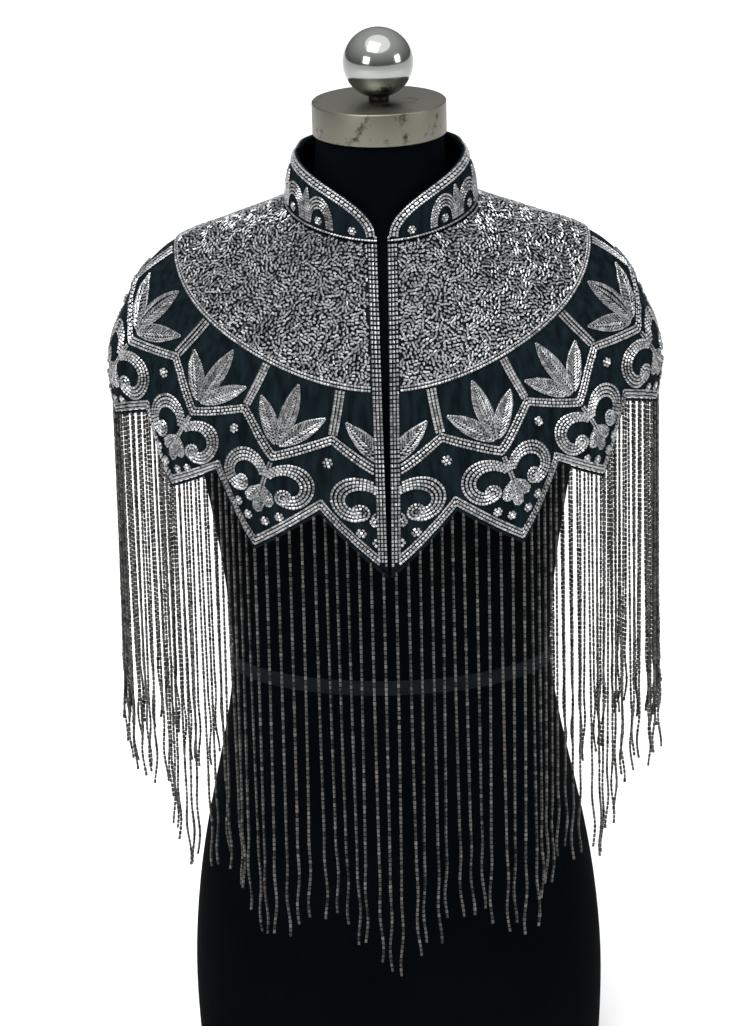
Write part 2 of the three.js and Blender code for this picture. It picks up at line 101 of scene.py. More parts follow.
sky_fill = bpy.data.lights.new("light_floor", "SUN")
sky_fill.energy = 1.5
sky_fill.angle = math.radians(70)
fill = bpy.data.objects.new("light_floor", sky_fill)
fill.rotation_euler = (math.radians(14), 0, 0)
bpy.context.collection.objects.link(fill)

bpy.context.scene.view_settings.view_transform = "Standard"

# Camera: it stands straight in front of the chest, looks down a little, and leans slightly to one side.
# The lens shows a fixed height of the scene at the chest, and the picture's middle lies below the chest.
CHEST = Vector((0, 0, 0.605))
CAMERA_DISTANCE = 3.6
CAMERA_ELEVATION = math.radians(17.75)
CAMERA_ROLL = math.radians(1.4)
VIEW_HEIGHT = 0.922
AIM_RIGHT = -0.0121
AIM_DOWN = 0.0679
SENSOR = 36.0

camera_data = bpy.data.cameras.new("camera")
camera_data.sensor_width = SENSOR
camera_data.lens = SENSOR * CAMERA_DISTANCE / VIEW_HEIGHT
camera = bpy.data.objects.new("camera", camera_data)
bpy.context.collection.objects.link(camera)
toward_camera = Vector((0, -math.cos(CAMERA_ELEVATION), math.sin(CAMERA_ELEVATION)))
picture_up = Vector((0, math.sin(CAMERA_ELEVATION), math.cos(CAMERA_ELEVATION)))
aim = CHEST + Vector((AIM_RIGHT, 0, 0)) - picture_up * AIM_DOWN
camera.location = CHEST + toward_camera * CAMERA_DISTANCE
camera.rotation_mode = "QUATERNION"
level = (aim - camera.location).to_track_quat("-Z", "Y")
camera.rotation_quaternion = level @ Quaternion((0, 0, 1), -CAMERA_ROLL)
bpy.context.scene.camera = camera

# Dress form body: a padded torso without limbs, under one skin of black cotton jersey drawn tight over it.
# The cover is smoothed over the solid's own rings and keeps its flat base.
COVER_COLOUR = (0.0008, 0.0015, 0.0021, 1)
RIM_ROUND = 0.002
SHARP_EDGE = math.radians(50)
KNIT_SIZE = 0.0011


def merged_copy(solid, name):
    """A copy of a solid with its loose triangles merged into whole faces, in edit mode."""
    bpy.ops.object.select_all(action="DESELECT")
    piece = bpy.data.objects.new(name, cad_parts[solid].data.copy())
    bpy.context.collection.objects.link(piece)
    bpy.context.view_layer.objects.active = piece
    piece.select_set(True)
    piece.data.materials.clear()
    bpy.ops.mesh.customdata_custom_splitnormals_clear()
    bpy.ops.object.mode_set(mode="EDIT")
    bpy.ops.mesh.select_all(action="SELECT")
    bpy.ops.mesh.remove_doubles(threshold=1e-5)
    bpy.ops.mesh.tris_convert_to_quads(face_threshold=math.radians(60), shape_threshold=math.radians(70))
    bpy.ops.mesh.select_all(action="DESELECT")
    return piece


def round_sharp_edges(size, segments):
    """Rounds every sharp edge of the piece in edit mode."""
    bpy.ops.mesh.select_mode(type="EDGE")
    bpy.ops.mesh.edges_select_sharp(sharpness=SHARP_EDGE)
    bpy.ops.mesh.bevel(offset=size, segments=segments, clamp_overlap=True)


def smooth_piece(piece, levels):
    """Back to object mode, with a smooth surface drawn through the faces."""
    bpy.ops.object.mode_set(mode="OBJECT")
    bpy.ops.object.shade_smooth()
    smooth = piece.modifiers.new("smooth", "SUBSURF")
    smooth.levels = levels
    smooth.render_levels = levels
    bpy.ops.object.modifier_apply(modifier=smooth.name)


def new_finish(name, colour, roughness, metallic=0.0):
    """A material with one shader, its node tree and that shader."""
    material = bpy.data.materials.new(name)
    material.use_nodes = True
    shader = material.node_tree.nodes["Principled BSDF"]
    shader.inputs["Base Color"].default_value = colour
    shader.inputs["Roughness"].default_value = roughness
    shader.inputs["Metallic"].default_value = metallic
    return material, material.node_tree, shader


def node(tree, kind, **values):
    """A node of a kind, with its settings and the values of its sockets."""
    made = tree.nodes.new(kind)
    for key, value in values.items():
        if hasattr(made, key):
            setattr(made, key, value)
        else:
            made.inputs[key.replace("_", " ").title()].default_value = value
    return made


def bump_from(tree, shader, height, strength, distance):
    """Raises the surface by a texture's output."""
    bump = node(tree, "ShaderNodeBump")
    bump.inputs["Strength"].default_value = strength
    bump.inputs["Distance"].default_value = distance
    tree.links.new(height, bump.inputs["Height"])
    tree.links.new(bump.outputs["Normal"], shader.inputs["Normal"])


def mottle(tree, shader, coordinates, scale, dark, light):
    """Base colour that drifts between two shades in soft patches."""
    noise = node(tree, "ShaderNodeTexNoise", scale=scale, detail=4.0)
    tree.links.new(coordinates, noise.inputs["Vector"])
    ramp = node(tree, "ShaderNodeValToRGB")
    ramp.color_ramp.elements[0].position = 0.35
    ramp.color_ramp.elements[0].color = dark
    ramp.color_ramp.elements[1].position = 0.7
    ramp.color_ramp.elements[1].color = light
    tree.links.new(noise.outputs["Fac"], ramp.inputs["Fac"])
    tree.links.new(ramp.outputs["Color"], shader.inputs["Base Color"])


torso = merged_copy("form_torso", "form_cover")
bpy.ops.mesh.select_all(action="SELECT")
bpy.ops.mesh.dissolve_limited(angle_limit=math.radians(0.5))
bpy.ops.mesh.select_all(action="DESELECT")
round_sharp_edges(RIM_ROUND, 2)
smooth_piece(torso, 2)

jersey, jersey_tree, jersey_shader = new_finish("black_jersey", COVER_COLOUR, 0.82)
jersey_shader.inputs["Specular IOR Level"].default_value = 0.01
jersey_place = node(jersey_tree, "ShaderNodeTexCoord")
mottle(jersey_tree, jersey_shader, jersey_place.outputs["Object"], 9.0,
       (0.0006, 0.0012, 0.0017, 1), (0.0011, 0.0019, 0.0026, 1))
knit = node(jersey_tree, "ShaderNodeTexVoronoi", scale=1 / KNIT_SIZE)
jersey_tree.links.new(jersey_place.outputs["Object"], knit.inputs["Vector"])
bump_from(jersey_tree, jersey_shader, knit.outputs["Distance"], 0.35, 0.0004)
torso.data.materials.append(jersey)
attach(torso, "root")
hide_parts("form_torso")

# Waist tape: a flat woven tape pinned round the waist of the form, its edges slightly rolled.
# It is grey-black cotton with a fine rib across its width.
TAPE_COLOUR = (0.0055, 0.0078, 0.0095, 1)
TAPE_RIB = 0.0016
TAPE_ROUND = 0.0004

waist_tape = merged_copy("form_waist_tape", "form_waist_band")
round_sharp_edges(TAPE_ROUND, 2)
smooth_piece(waist_tape, 1)

tape_finish, tape_tree, tape_shader = new_finish("waist_tape", TAPE_COLOUR, 0.75)
tape_shader.inputs["Specular IOR Level"].default_value = 0.03
tape_grain = node(tape_tree, "ShaderNodeTexCoord")
rib = node(tape_tree, "ShaderNodeTexWave", scale=1 / TAPE_RIB, distortion=0.4)
rib.bands_direction = "Z"
tape_tree.links.new(tape_grain.outputs["Object"], rib.inputs["Vector"])
mottle(tape_tree, tape_shader, tape_grain.outputs["Object"], 60.0,
       (0.0042, 0.0060, 0.0075, 1), (0.0070, 0.0095, 0.0118, 1))
bump_from(tape_tree, tape_shader, rib.outputs["Fac"], 0.4, 0.0003)
waist_tape.data.materials.append(tape_finish)
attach(waist_tape, "root")
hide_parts("form_waist_tape")

# Neck cap: a turned steel disc that closes the neck of the form, brushed round its rim and scuffed with use.
# Its top is flat and its edges are lightly broken.
CAP_RADIUS = 0.059
CAP_ROUND = 0.0014
STEEL_COLOUR = (0.145, 0.142, 0.115, 1)
SCUFF_COLOUR = (0.018, 0.016, 0.012, 1)
CAP_LOW, CAP_HIGH = (corner.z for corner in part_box("form_neck_cap"))

bpy.ops.object.select_all(action="DESELECT")
bpy.ops.mesh.primitive_cylinder_add(
    vertices=96, radius=CAP_RADIUS, depth=CAP_HIGH - CAP_LOW, location=(0, 0, (CAP_LOW + CAP_HIGH) / 2)
)
neck_cap = bpy.context.object
neck_cap.name = "form_cap"
bpy.ops.object.transform_apply(location=True, rotation=True, scale=True)
bpy.ops.object.mode_set(mode="EDIT")
bpy.ops.mesh.select_all(action="DESELECT")
round_sharp_edges(CAP_ROUND, 4)
bpy.ops.object.mode_set(mode="OBJECT")
bpy.ops.object.shade_smooth_by_angle(angle=math.radians(35))

steel, steel_tree, steel_shader = new_finish("brushed_steel", STEEL_COLOUR, 0.4, 1.0)
steel_place = node(steel_tree, "ShaderNodeTexCoord")
grain_run = node(steel_tree, "ShaderNodeMapping")
grain_run.inputs["Scale"].default_value = (30, 30, 1800)
steel_tree.links.new(steel_place.outputs["Object"], grain_run.inputs["Vector"])
grain = node(steel_tree, "ShaderNodeTexNoise", scale=1.0, detail=3.0)
steel_tree.links.new(grain_run.outputs["Vector"], grain.inputs["Vector"])
bump_from(steel_tree, steel_shader, grain.outputs["Fac"], 0.12, 0.0003)
scuff = node(steel_tree, "ShaderNodeTexNoise", scale=42.0, detail=6.0, roughness=0.62)
steel_tree.links.new(steel_place.outputs["Object"], scuff.inputs["Vector"])
scuff_ramp = node(steel_tree, "ShaderNodeValToRGB")
scuff_ramp.color_ramp.elements[0].position = 0.34
scuff_ramp.color_ramp.elements[0].color = SCUFF_COLOUR
scuff_ramp.color_ramp.elements[1].position = 0.42
scuff_ramp.color_ramp.elements[1].color = STEEL_COLOUR
steel_tree.links.new(scuff.outputs["Fac"], scuff_ramp.inputs["Fac"])
steel_tree.links.new(scuff_ramp.outputs["Color"], steel_shader.inputs["Base Color"])
neck_cap.data.materials.append(steel)
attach(neck_cap, "root")
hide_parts("form_neck_cap")

# Finial: a chromed steel ball that screws into the cap on a short stem, used to lift and turn the form.
# The ball is polished bright; the stem is dull, nearly hidden under it, and coloured near black as painted
# shade.
BALL_RADIUS = 0.031
BALL_HEIGHT = 0.948
BALL_FLAT = 0.0014
STEM_RADIUS = 0.009
STEM_FOOT = 0.9148
STEM_IN_BALL = 0.0035
STEM_ROUND = 0.0008

bpy.ops.object.select_all(action="DESELECT")
bpy.ops.mesh.primitive_uv_sphere_add(
    segments=64, ring_count=40, radius=BALL_RADIUS, location=(0, 0, BALL_HEIGHT)
)
ball = bpy.context.object
ball.name = "form_ball"
bpy.ops.object.transform_apply(location=True, rotation=True, scale=True)
bpy.ops.object.mode_set(mode="EDIT")
bpy.ops.mesh.select_all(action="SELECT")
seat = (0, 0, BALL_HEIGHT - BALL_RADIUS + BALL_FLAT)
bpy.ops.mesh.bisect(plane_co=seat, plane_no=(0, 0, 1), use_fill=True, clear_inner=True)
bpy.ops.object.mode_set(mode="OBJECT")
bpy.ops.object.shade_smooth_by_angle(angle=math.radians(40))

chrome, chrome_tree, chrome_shader = new_finish("chrome", (0.28, 0.29, 0.28, 1), 0.09, 1.0)
chrome_place = node(chrome_tree, "ShaderNodeTexCoord")
smear = node(chrome_tree, "ShaderNodeTexNoise", scale=38.0, detail=5.0)
chrome_tree.links.new(chrome_place.outputs["Object"], smear.inputs["Vector"])
smear_ramp = node(chrome_tree, "ShaderNodeMapRange")
smear_ramp.inputs["To Min"].default_value = 0.05
smear_ramp.inputs["To Max"].default_value = 0.2
chrome_tree.links.new(smear.outputs["Fac"], smear_ramp.inputs["Value"])
chrome_tree.links.new(smear_ramp.outputs["Result"], chrome_shader.inputs["Roughness"])
ball.data.materials.append(chrome)
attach(ball, "root")
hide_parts("form_finial")

bpy.ops.object.select_all(action="DESELECT")
stem_top = BALL_HEIGHT - BALL_RADIUS + STEM_IN_BALL
bpy.ops.mesh.primitive_cylinder_add(
    vertices=48, radius=STEM_RADIUS, depth=stem_top - STEM_FOOT, location=(0, 0, (stem_top + STEM_FOOT) / 2)
)
stem = bpy.context.object
stem.name = "form_ball_stem"
bpy.ops.object.transform_apply(location=True, rotation=True, scale=True)
bpy.ops.object.mode_set(mode="EDIT")
bpy.ops.mesh.select_all(action="DESELECT")
round_sharp_edges(STEM_ROUND, 2)
bpy.ops.object.mode_set(mode="OBJECT")
bpy.ops.object.shade_smooth_by_angle(angle=math.radians(40))
# The stem's near-black colour is painted shade for the shadowed recess under the ball.
stem_painted_shade_finish, stem_tree, stem_shader = new_finish("stem_steel_painted_shade", (0.05, 0.048, 0.046, 1), 0.5, 0.8)
stem_place = node(stem_tree, "ShaderNodeTexCoord")
stem_painted_shade_dark, stem_painted_shade_light = (0.008, 0.0075, 0.007, 1), (0.03, 0.028, 0.026, 1)
mottle(stem_tree, stem_shader, stem_place.outputs["Object"], 180.0, stem_painted_shade_dark, stem_painted_shade_light)
stem.data.materials.append(stem_painted_shade_finish)
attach(stem, "root")
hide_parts("form_finial")

# Cape cloth: three panels of black net over crepe, cut as parts of a ring and joined at the shoulders.
# It is open in front, its hem runs in points, and it hangs in soft flutes with fine pleats below the yoke.
HEM_POINTS = 14
SHOULDER = HEM_POINTS / 4
STEP_ANGLE = 2 * math.pi / HEM_POINTS
CUT_ANGLE = 0.3456
NECK_RADIUS = 0.072
YOKE_RADIUS = 0.190
CELL_TOP = 0.238
CELL_TIP = 0.264
HEM_VALLEY = 0.298
HEM_TIP = 0.343
HEM_FRONT_EXTRA = 0.007
FLUTE_START = 0.225
FLUTE_DEPTH = 0.005
SLIT_NECK = 0.009
SLIT_HEM = 0.003
CLOTH_THICKNESS = 0.0012
PLEAT_DEPTH = 0.0004
CREASE_DEPTH = 0.0008
PLEATS_PER_POINT = 8.6
CREASES_PER_POINT = (1.63, 2.9)
YOKE_HOLD = 0.02
NET_MESH = (0.0009, 0.0016)
COLUMNS_PER_POINT = 32
CLOTH_ROWS = 46

# The worn cape as rings: flat radius, half-width, depth in front and behind, height at side, front and back,
# swing towards the front, and how far the shoulder's ridge lies behind the shoulder line.
RING_RADIUS = np.array([NECK_RADIUS, 0.130, YOKE_RADIUS, CELL_TOP, CELL_TIP, HEM_VALLEY, HEM_TIP])
CAPE_RINGS = {
    "half": (0.084, 0.140, 0.184, 0.218, 0.232, 0.246, 0.242),
    "front": (0.066, 0.096, 0.119, 0.127, 0.136, 0.146, 0.153),
    "back": (0.069, 0.091, 0.108, 0.117, 0.124, 0.132, 0.138),
    "side_z": (0.827, 0.807, 0.790, 0.761, 0.732, 0.698, 0.659),
    "front_z": (0.803, 0.746, 0.683, 0.639, 0.612, 0.580, 0.537),
    "back_z": (0.829, 0.772, 0.708, 0.664, 0.639, 0.606, 0.562),
    "swing": (0.05, 0.09, 0.11, 0.10, 0.07, 0.04, 0.0),
    "ridge": (0.2, 0.2, 0.2, 0.14, 0.06, 0.0, 0.0),
}
SHOULDER_SPREAD = 0.048
SHOULDER_ROUND = 0.2
CHEST_LEAN = 1.5
FLUTE_SHARE_FRONT = 0.4


def ring_value(column, radius):
    """Smooth run of one column of the rings along the flat radius, straight on past the last ring."""
    values = np.array(CAPE_RINGS[column])
    slope = np.gradient(values, RING_RADIUS)
    slope[1:-1] = (values[2:] - values[:-2]) / (RING_RADIUS[2:] - RING_RADIUS[:-2])
    i = np.clip(np.searchsorted(RING_RADIUS, radius) - 1, 0, len(RING_RADIUS) - 2)
    span = RING_RADIUS[i + 1] - RING_RADIUS[i]
    t = (radius - RING_RADIUS[i]) / span
    curve = values[i] + (values[i + 1] - values[i]) * t * t * (3 - 2 * t)
    curve = curve + t * (1 - t) ** 2 * span * slope[i] + t * t * (t - 1) * span * slope[i + 1]
    return np.where(radius > HEM_TIP, values[-1] + slope[-1] * (radius - HEM_TIP), curve)


def ease(value, low, high):
    """Smooth rise from 0 to 1 between two values."""
    t = np.clip((value - low) / (high - low), 0, 1)
    return t * t * (3 - 2 * t)


def cape_point(u, radius):
    """Point on the worn cape. A whole u is a hem point and 0 the centre front; radius is on the flat cut."""
    ring = {column: ring_value(column, radius) for column in CAPE_RINGS}
    turn = u * STEP_ANGLE
    angle = turn - ring["swing"] * np.sin(2 * turn) + SHOULDER_SPREAD * np.sin(4 * turn)
    across, along = np.sin(angle), np.cos(angle)
    fullness = FLUTE_SHARE_FRONT + (1 - FLUTE_SHARE_FRONT) * across**2
    flute = FLUTE_DEPTH * fullness * ease(radius, FLUTE_START, HEM_TIP) * np.cos(2 * np.pi * u)
    depth = ring["back"] + (ring["front"] - ring["back"]) * (1 + along) / 2
    slope = along + ring["ridge"] * across**4
    end_z = np.where(slope > 0, ring["front_z"], ring["back_z"])
    rounded = slope**2 * math.hypot(1, SHOULDER_ROUND) / np.hypot(slope, SHOULDER_ROUND)
    height = ring["side_z"] + (end_z - ring["side_z"]) * rounded**CHEST_LEAN
    return np.stack([(ring["half"] + flute) * across, -(depth + flute) * along, height], axis=-1)


def unit(vectors):
    """Vectors of length one."""
    return vectors / np.linalg.norm(vectors, axis=-1, keepdims=True)


def cape_frame(u, radius):
    """Point on the cape, the ways round it, down it and out of it, and the length of one u there."""
    du, dr = 0.004, 0.0004
    around = (cape_point(u + du, radius) - cape_point(u - du, radius)) / (2 * du)
    fall = unit(cape_point(u, radius + dr) - cape_point(u, radius - dr))
    out = unit(np.cross(fall, around))
    scale = np.linalg.norm(around, axis=-1)
    around = unit(around)
    return cape_point(u, radius), around, unit(np.cross(around, out)), out, scale


def cloth_rise(u, radius):
    """How far the cloth stands off its ring: fine uneven pleats and soft creases below the yoke."""
    loose = ease(radius, YOKE_RADIUS, YOKE_RADIUS + YOKE_HOLD)
    pleats = np.sin(2 * np.pi * (PLEATS_PER_POINT * u + 0.35 * np.sin(3.1 * u)))
    pleats = pleats * (0.6 + 0.4 * np.sin(2.3 * u + 1.0))
    creases = np.sin(2 * np.pi * (CREASES_PER_POINT[0] * u + 0.4) + 14 * radius)
    creases += 0.6 * np.sin(2 * np.pi * CREASES_PER_POINT[1] * u - 22 * radius)
    return loose * (PLEAT_DEPTH * pleats + CREASE_DEPTH * 0.5 * creases)


def off_axis(u):
    """0 on the axis of a hem point and 1 half way to the next one."""
    return 2 * np.abs(u - np.round(u))


def hem_radius(u):
    """The pointed hem, whose three front points are cut longer."""
    from_front = np.abs(u - HEM_POINTS * np.round(u / HEM_POINTS))
    tip = HEM_TIP + HEM_FRONT_EXTRA * (from_front < 1.5)
    return tip - (tip - HEM_VALLEY) * off_axis(u)


def cell_radius(u):
    """The pointed lower edge of the cells under the yoke."""
    return CELL_TIP - (CELL_TIP - CELL_TOP) * off_axis(u)


def slit_half(radius):
    """Half the width of the front opening."""
    return (SLIT_NECK + (SLIT_HEM - SLIT_NECK) * (radius - NECK_RADIUS) / (HEM_TIP - NECK_RADIUS)) / 2


def slit_u(radius):
    """The front edge of the right panel in u."""
    return slit_half(radius) / cape_frame(np.zeros_like(radius), radius)[4]


def grid_faces(rows, columns):
    """Quads of a grid of points that is stored row by row."""
    index = np.arange(rows * columns).reshape(rows, columns)
    corners = [index[:-1, :-1], index[1:, :-1], index[1:, 1:], index[:-1, 1:]]
    return np.stack([corner.ravel() for corner in corners], axis=1)


def cloth_piece(name, points, cut, thickness):
    """A thin cloth wall from a grid of points on its outer face, with the flat cut as its UV map."""
    rows, columns = points.shape[:2]
    mesh = bpy.data.meshes.new(name)
    mesh.from_pydata(points.reshape(-1, 3), [], grid_faces(rows, columns))
    flat = mesh.uv_layers.new(name="cut")
    corner_points = np.empty(len(mesh.loops), dtype=np.int32)
    mesh.loops.foreach_get("vertex_index", corner_points)
    flat.data.foreach_set("uv", cut.reshape(-1, 2)[corner_points].astype(np.float32).ravel())
    piece = bpy.data.objects.new(name, mesh)
    bpy.context.collection.objects.link(piece)
    bpy.ops.object.select_all(action="DESELECT")
    bpy.context.view_layer.objects.active = piece
    piece.select_set(True)
    bpy.ops.object.shade_smooth()
    wall = piece.modifiers.new("wall", "SOLIDIFY")
    wall.thickness = thickness
    wall.offset = -1
    bpy.ops.object.modifier_apply(modifier=wall.name)
    return piece


def panel_cloth(name, first, last):
    """A cape panel between two lines of u. An edge on the centre front keeps clear of the slit."""
    columns = np.linspace(first, last, round((last - first) * COLUMNS_PER_POINT) + 1)
    share = np.linspace(0, 1, CLOTH_ROWS + 1)[:, None]
    radius = NECK_RADIUS + share * (hem_radius(columns) - NECK_RADIUS)[None, :]
    right = np.clip(1 - 2 * columns, 0, 1)[None, :] * slit_u(radius)
    left = np.clip(1 - 2 * (HEM_POINTS - columns), 0, 1)[None, :] * slit_u(radius)
    u = columns[None, :] + right - left
    point, _, _, out, _ = cape_frame(u, radius)
    cut = np.stack([u * CUT_ANGLE * CELL_TIP, radius], axis=-1)
    return cloth_piece(name, point + out * cloth_rise(u, radius)[..., None], cut, CLOTH_THICKNESS)


crepe, crepe_tree, crepe_shader = new_finish("black_crepe", (0.003, 0.007, 0.0095, 1), 0.78)
crepe_shader.inputs["Specular IOR Level"].default_value = 0.04
crepe_cut = node(crepe_tree, "ShaderNodeUVMap", uv_map="cut")
crepe_place = node(crepe_tree, "ShaderNodeTexCoord")
# The crepe's colour runs in fine vertical streaks: painted shade and light along its pleats.
pleat_shade_streaks = node(crepe_tree, "ShaderNodeMapping")
pleat_shade_streaks.inputs["Scale"].default_value = (150, 150, 6)
crepe_tree.links.new(crepe_place.outputs["Object"], pleat_shade_streaks.inputs["Vector"])
crepe_streak_shade, crepe_streak_light = (0.0010, 0.0028, 0.0040, 1), (0.0044, 0.0096, 0.0126, 1)
mottle(crepe_tree, crepe_shader, pleat_shade_streaks.outputs["Vector"], 1.0, crepe_streak_shade, crepe_streak_light)
net_scale = node(crepe_tree, "ShaderNodeMapping")
net_scale.inputs["Scale"].default_value = (1 / NET_MESH[0], 1 / NET_MESH[1], 1)
crepe_tree.links.new(crepe_cut.outputs["UV"], net_scale.inputs["Vector"])
net = node(crepe_tree, "ShaderNodeTexVoronoi", scale=1.0)
crepe_tree.links.new(net_scale.outputs["Vector"], net.inputs["Vector"])
bump_from(crepe_tree, crepe_shader, net.outputs["Distance"], 0.45, 0.0004)

PANELS = {
    "front_right": (0.0, SHOULDER),
    "back": (SHOULDER, HEM_POINTS - SHOULDER),
    "front_left": (HEM_POINTS - SHOULDER, float(HEM_POINTS)),
}
panel_trim = {}
for panel, (first, last) in PANELS.items():
    cloth = panel_cloth(f"cape_{panel}_cloth", first, last)
    cloth.data.materials.append(crepe)
    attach(cloth, "root")
    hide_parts(f"cape_{panel}")
    panel_trim[panel] = []

# Yoke beads: short silver-grey glass bugles sewn down one by one, close together and at all angles.
# They cover the cloth from the neck to the yoke's edge, which two plain rows of beads close.
BUGLE_LENGTH = 0.0034
BUGLE_WIDTH = 0.0019
BUGLE_APART = 0.0025
SCATTER_TRIES = 150000
FRONT_BAND = 0.0085
YOKE_INSET_TOP = 0.002
YOKE_INSET_EDGE = 0.006
YOKE_INSET_FRONT = 0.0012
YOKE_EDGE_ROWS = (0.0014, 0.0042)
YOKE_EDGE_START = 0.16
BEAD_SIDES = 5
BEAD_SHOULDER = 0.41
BEAD_LIFT = 0.45
TURN_UNEVEN = 0.07
SIZE_UNEVEN = 0.05
TINT_UNEVEN = 0.22

# The beads of a row: their pitch, length and width, and their shade from dark to light.
YOKE_EDGE_BEAD = (0.0030, 0.0028, 0.0019, 0.5)

chance = np.random.default_rng(14)


def bead_faces():
    """Triangles of one bead: a point, a ring, a ring and a point."""
    faces = []
    for i in range(BEAD_SIDES):
        low, low_next = 1 + i, 1 + (i + 1) % BEAD_SIDES
        high, high_next = low + BEAD_SIDES, low_next + BEAD_SIDES
        end = 1 + 2 * BEAD_SIDES
        faces += [(0, low_next, low), (high, high_next, end)]
        faces += [(low, low_next, high_next), (low, high_next, high)]
    return np.array(faces)


BEAD_FACES = bead_faces()


def bead_piece(name, centre, axis, out, length, width, tint, finish):
    """One mesh of many beads, each with its own tint."""
    side = unit(np.cross(axis, out))
    out = np.cross(side, axis)
    turn = np.arange(BEAD_SIDES) * 2 * np.pi / BEAD_SIDES
    spoke = out[:, None] * np.cos(turn)[None, :, None] + side[:, None] * np.sin(turn)[None, :, None]
    spoke = spoke * (width / 2)[:, None, None]
    reach = (axis * length[:, None])[:, None]
    middle = centre[:, None]
    low, high = middle - reach * BEAD_SHOULDER + spoke, middle + reach * BEAD_SHOULDER + spoke
    points = np.concatenate([middle - reach / 2, low, high, middle + reach / 2], axis=1)
    per_bead = points.shape[1]
    faces = BEAD_FACES[None] + (np.arange(len(centre)) * per_bead)[:, None, None]
    mesh = bpy.data.meshes.new(name)
    mesh.from_pydata(points.reshape(-1, 3), [], faces.reshape(-1, 3))
    shades = mesh.attributes.new("tint", "FLOAT", "POINT")
    shades.data.foreach_set("value", np.repeat(tint, per_bead).astype(np.float32))
    mesh.materials.append(finish)
    piece = bpy.data.objects.new(name, mesh)
    bpy.context.collection.objects.link(piece)
    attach(piece, "root")
    return piece


def bead_finish(name, dark, light, roughness):
    """Silver-lined glass whose shade goes by each bead's tint."""
    material, tree, shader = new_finish(name, light, roughness, 0.85)
    shader.inputs["Coat Weight"].default_value = 0.15
    shader.inputs["Coat Roughness"].default_value = 0.12
    tint = node(tree, "ShaderNodeAttribute", attribute_name="tint")
    ramp = node(tree, "ShaderNodeValToRGB")
    ramp.color_ramp.elements[0].color = dark
    ramp.color_ramp.elements[1].color = light
    tree.links.new(tint.outputs["Fac"], ramp.inputs["Fac"])
    tree.links.new(ramp.outputs["Color"], shader.inputs["Base Color"])
    return material


def new_bag():
    """Beads waiting to be sewn: their places on the cut, turns, sizes and tints."""
    return {key: [] for key in ("u", "radius", "turn", "length", "width", "tint")}


def drop_in(bag, u, radius, turn, length, width, shade):
    """Adds beads to a bag, each a little uneven. turn is from round the cape to down it."""
    u, radius, turn = np.broadcast_arrays(np.atleast_1d(u), radius, turn)
    count = len(u)
    bag["u"].append(u)
    bag["radius"].append(radius)
    bag["turn"].append(turn + chance.normal(0, TURN_UNEVEN, count))
    bag["length"].append(length * chance.normal(1, SIZE_UNEVEN, count))
    bag["width"].append(width * chance.normal(1, SIZE_UNEVEN, count))
    bag["tint"].append(np.clip(shade + chance.normal(0, TINT_UNEVEN, count), 0, 1))


def sew_row(bag, u, radius, pitch, length, width, shade):
    """A row of beads, end to end or spaced, along a line on the cape."""
    scale = cape_frame(u, radius)[4]
    across = np.diff(u) * (scale[1:] + scale[:-1]) / 2
    fall = np.diff(radius)
    run = np.concatenate([[0], np.cumsum(np.hypot(across, fall))])
    count = max(1, round(run[-1] / pitch))
    at = (np.arange(count) + 0.5) * run[-1] / count
    leg = np.clip(np.searchsorted(run, at) - 1, 0, len(fall) - 1)
    turn = np.arctan2(fall[leg], across[leg])
    drop_in(bag, np.interp(at, run, u), np.interp(at, run, radius), turn, length, width, shade)


def sew_down(bag, name, finish):
    """Sews a bag of beads to the cape, one piece for each panel."""
    beads = {key: np.concatenate(values) for key, values in bag.items()}
    beads["u"] = beads["u"] % HEM_POINTS
    for panel, (first, last) in PANELS.items():
        chosen = (beads["u"] >= first) & (beads["u"] < last)
        u, radius, turn, length, width, tint = (beads[key][chosen] for key in beads)
        point, around, down, out, _ = cape_frame(u, radius)
        axis = around * np.cos(turn)[:, None] + down * np.sin(turn)[:, None]
        lift = cloth_rise(u, radius) + width * BEAD_LIFT
        centre = point + out * lift[:, None]
        piece = bead_piece(f"{name}_{panel}", centre, axis, out, length, width, tint, finish)
        panel_trim[panel].append(piece)


def clear_of_front(u, radius, margin):
    """True where a place is outside the front opening and its bands."""
    from_front = np.abs((u + HEM_POINTS / 2) % HEM_POINTS - HEM_POINTS / 2)
    return from_front * cape_frame(np.zeros_like(u), radius)[4] > slit_half(radius) + margin


def scattered(tries, apart, low, high):
    """Places on the cape between two radii, taken at random but nowhere closer than a distance."""
    u = chance.uniform(0, HEM_POINTS, tries)
    radius = np.sqrt(chance.uniform(low**2, high**2, tries))
    points = cape_point(u, radius)
    boxes = np.floor(points / apart).astype(int).tolist()
    steps = [(a, b, c) for a in (-1, 0, 1) for b in (-1, 0, 1) for c in (-1, 0, 1)]
    taken = {}
    kept = []
    for i, (box, point) in enumerate(zip(boxes, points.tolist())):
        around = (taken.get((box[0] + a, box[1] + b, box[2] + c), ()) for a, b, c in steps)
        if all(math.dist(point, other) >= apart for others in around for other in others):
            taken.setdefault(tuple(box), []).append(point)
            kept.append(i)
    return u[kept], radius[kept], points[kept]


yoke = new_bag()
yoke_span = (NECK_RADIUS + YOKE_INSET_TOP, YOKE_RADIUS - YOKE_INSET_EDGE)
u, radius, place = scattered(SCATTER_TRIES, BUGLE_APART, *yoke_span)
kept = clear_of_front(u, radius, FRONT_BAND + YOKE_INSET_FRONT)
u, radius, place = u[kept], radius[kept], place[kept]
# Neighbours lie nearly alike, because the lay drifts slowly over the yoke.
drift = np.sin(150 * place[:, 0] + 2) * np.cos(130 * place[:, 1])
drift += np.sin(110 * place[:, 2] - 90 * place[:, 0])
lay = 1.8 * drift + chance.normal(0, 0.38, len(u))
drop_in(yoke, u, radius, lay, BUGLE_LENGTH, BUGLE_WIDTH, 0.5)

full_turn = np.linspace(YOKE_EDGE_START, HEM_POINTS - YOKE_EDGE_START, 700)
for inset in YOKE_EDGE_ROWS:
    sew_row(yoke, full_turn, np.full_like(full_turn, YOKE_RADIUS - inset), *YOKE_EDGE_BEAD)

